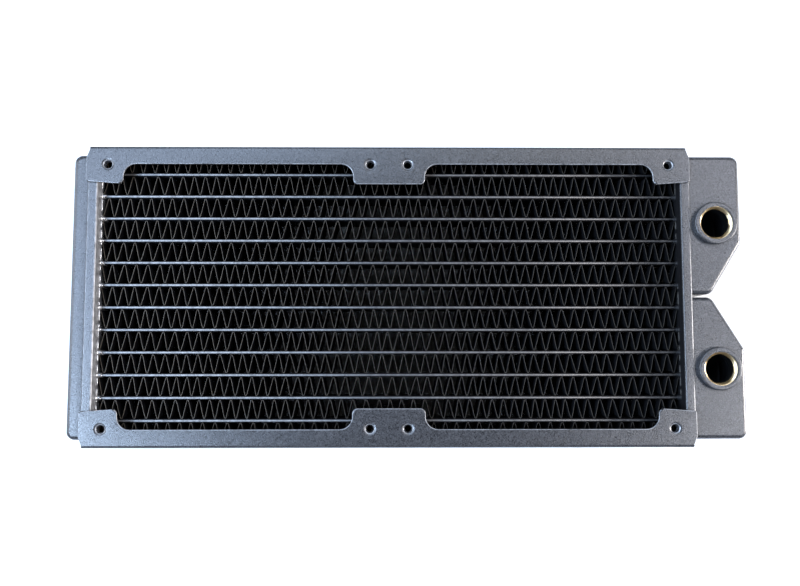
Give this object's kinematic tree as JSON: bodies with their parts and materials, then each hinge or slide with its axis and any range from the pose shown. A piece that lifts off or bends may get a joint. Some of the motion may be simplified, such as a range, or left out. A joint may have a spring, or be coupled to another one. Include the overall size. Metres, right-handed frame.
{
  "type": "liquid cooling radiator",
  "caption": "Flat liquid cooling radiator for a row of computer fans: tube and fin core, C-section side channels with tapped fan flanges, a return tank, and port tanks with threaded bushes.",
  "frame": {"origin": "centre of the overall box, on the back fan face that the radiator rests on", "axes": "+X along the length towards the hose ports, +Y across towards the inlet side, +Z out of the front fan face"},
  "size_m": [0.2696, 0.12, 0.03],
  "materials": {
    "frame_paint": "satin grey-black paint",
    "core_paint": "thin black paint",
    "port_brass": "bare machined brass in the bore, painted outside"
  },
  "bodies": {
    "root": {"inlet_side_channel": "frame_paint", "outlet_side_channel": "frame_paint", "inlet_side_plate": "core_paint", "outlet_side_plate": "core_paint", "water_tube_01": "core_paint", "water_tube_02": "core_paint", "water_tube_03": "core_paint", "water_tube_04": "core_paint", "water_tube_05": "core_paint", "water_tube_06": "core_paint", "water_tube_07": "core_paint", "water_tube_08": "core_paint", "water_tube_09": "core_paint", "water_tube_10": "core_paint", "water_tube_11": "core_paint", "water_tube_12": "core_paint", "fin_strip_01": "core_paint", "fin_strip_02": "core_paint", "fin_strip_03": "core_paint", "fin_strip_04": "core_paint", "fin_strip_05": "core_paint", "fin_strip_06": "core_paint", "fin_strip_07": "core_paint", "fin_strip_08": "core_paint", "fin_strip_09": "core_paint", "fin_strip_10": "core_paint", "fin_strip_11": "core_paint", "fin_strip_12": "core_paint", "fin_strip_13": "core_paint", "return_header_plate": "frame_paint", "port_header_plate": "frame_paint", "return_tank": "frame_paint", "inlet_tank": "frame_paint", "outlet_tank": "frame_paint", "inlet_port_bush": "port_brass", "outlet_port_bush": "port_brass"}
  },
  "joints": []
}
